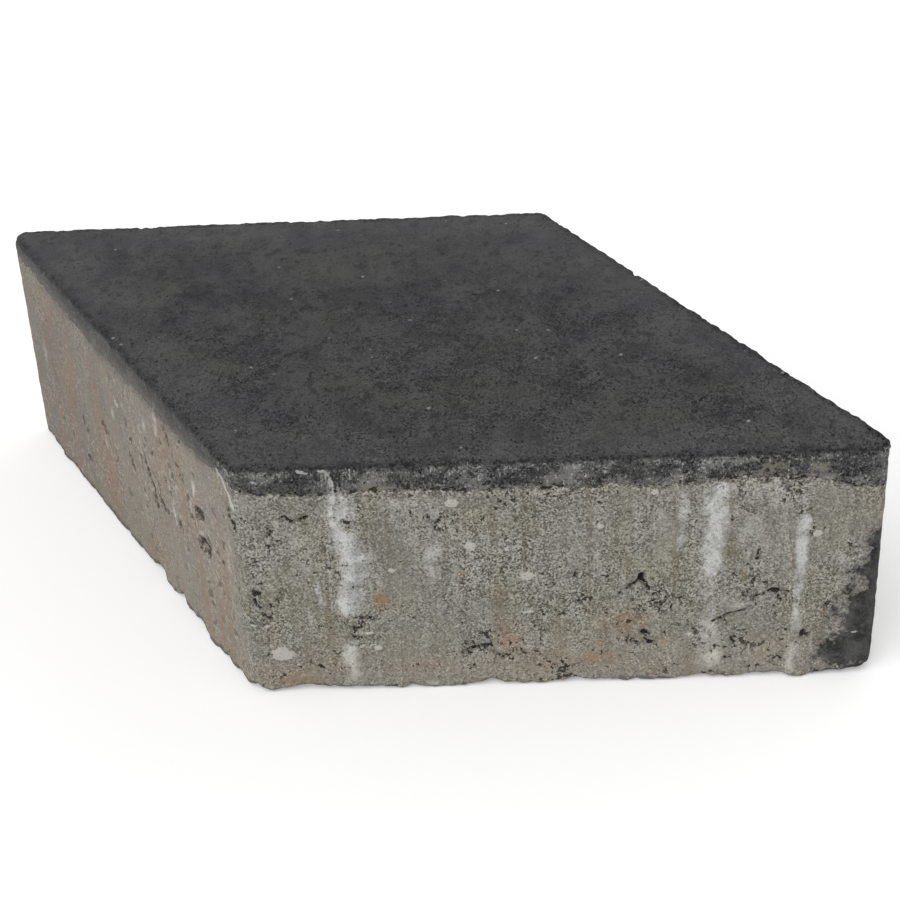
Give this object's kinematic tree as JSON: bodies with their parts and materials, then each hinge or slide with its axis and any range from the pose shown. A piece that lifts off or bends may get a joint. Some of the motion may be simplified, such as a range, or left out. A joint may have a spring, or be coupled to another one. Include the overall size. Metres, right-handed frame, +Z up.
{
  "type": "rhombic concrete paving stone",
  "caption": "Rhombic concrete paving stone with rounded upright corners, low spacer ribs on its sides and a dark face layer over a grey base, laid flat in patterned paving.",
  "frame": {"origin": "middle of the bed face, on the surface that the stone lies on", "axes": "+Z up out of the walking face, +X along the front side towards its acute corner, +Y from the front side to the back side"},
  "size_m": [0.2776, 0.1666, 0.08],
  "materials": {
    "base_concrete": "matte",
    "face_concrete": "matte"
  },
  "bodies": {
    "root": {"base_block": "base_concrete", "face_layer": "face_concrete"}
  },
  "joints": []
}
